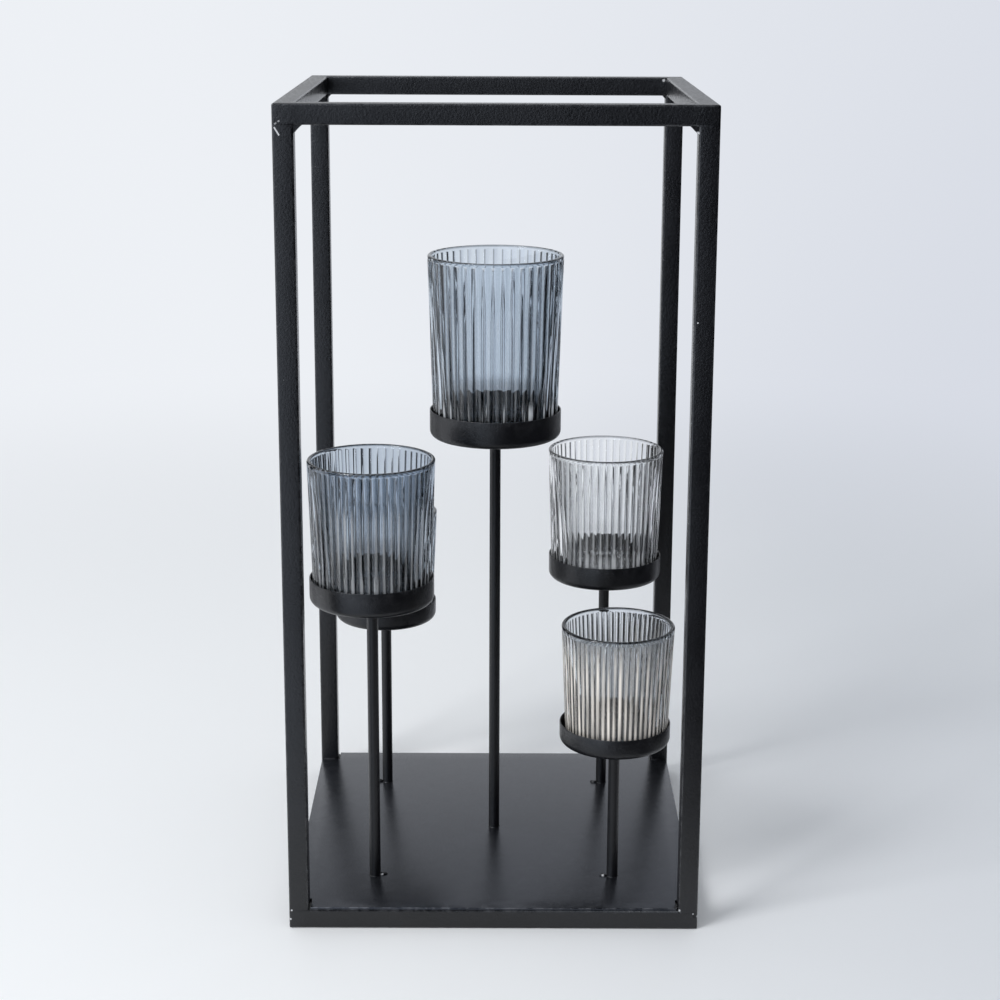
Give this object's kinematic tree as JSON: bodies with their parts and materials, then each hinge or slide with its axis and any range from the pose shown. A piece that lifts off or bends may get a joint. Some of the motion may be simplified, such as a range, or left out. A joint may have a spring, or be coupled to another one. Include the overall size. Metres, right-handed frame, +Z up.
{
  "type": "votive candle rack",
  "caption": "Open square-tube cage with a sheet base; rods on the base carry round trays at different heights, each with a loose ribbed smoked glass votive cup.",
  "frame": {"origin": "on the floor, at the middle of the square footprint", "axes": "+Z up, -Y is the front that the picture shows, +X to its right"},
  "size_m": [0.25, 0.25, 0.5],
  "materials": {
    "powder_coat": "satin black powder coat with a fine texture",
    "weld_coat": "satin black powder coat over weld",
    "sheet_coat": "satin black powder coat on sheet",
    "smoked_glass": "clear smoked blue-grey pressed glass with vertical ribs"
  },
  "bodies": {
    "rack": {"base_rail_front": "powder_coat", "base_rail_right": "powder_coat", "base_rail_back": "powder_coat", "base_rail_left": "powder_coat", "upright_front_left": "powder_coat", "upright_front_right": "powder_coat", "upright_back_left": "powder_coat", "upright_back_right": "powder_coat", "top_rail_front": "powder_coat", "top_rail_right": "powder_coat", "top_rail_back": "powder_coat", "top_rail_left": "powder_coat", "weld_front_left": "weld_coat", "weld_front_right": "weld_coat", "weld_right_front": "weld_coat", "weld_right_back": "weld_coat", "weld_back_right": "weld_coat", "weld_back_left": "weld_coat", "weld_left_back": "weld_coat", "weld_left_front": "weld_coat", "base_plate": "sheet_coat", "rod_front_left": "powder_coat", "rod_front_right": "powder_coat", "rod_center": "powder_coat", "rod_back_left": "powder_coat", "rod_back_right": "powder_coat", "tray_front_left": "powder_coat", "tray_front_right": "powder_coat", "tray_center": "powder_coat", "tray_back_left": "powder_coat", "tray_back_right": "powder_coat"},
    "cup_front_left": {"glass_cup_front_left": "smoked_glass"},
    "cup_front_right": {"glass_cup_front_right": "smoked_glass"},
    "cup_center": {"glass_cup_center": "smoked_glass"},
    "cup_back_left": {"glass_cup_back_left": "smoked_glass"},
    "cup_back_right": {"glass_cup_back_right": "smoked_glass"}
  },
  "joints": [
    {"name": "lift_front_left", "type": "slide", "parent": "rack", "child": "cup_front_left", "axis": [0, 0, 1], "range_m": [0, 0.06]},
    {"name": "lift_front_right", "type": "slide", "parent": "rack", "child": "cup_front_right", "axis": [0, 0, 1], "range_m": [0, 0.06]},
    {"name": "lift_center", "type": "slide", "parent": "rack", "child": "cup_center", "axis": [0, 0, 1], "range_m": [0, 0.06]},
    {"name": "lift_back_left", "type": "slide", "parent": "rack", "child": "cup_back_left", "axis": [0, 0, 1], "range_m": [0, 0.06]},
    {"name": "lift_back_right", "type": "slide", "parent": "rack", "child": "cup_back_right", "axis": [0, 0, 1], "range_m": [0, 0.06]}
  ]
}
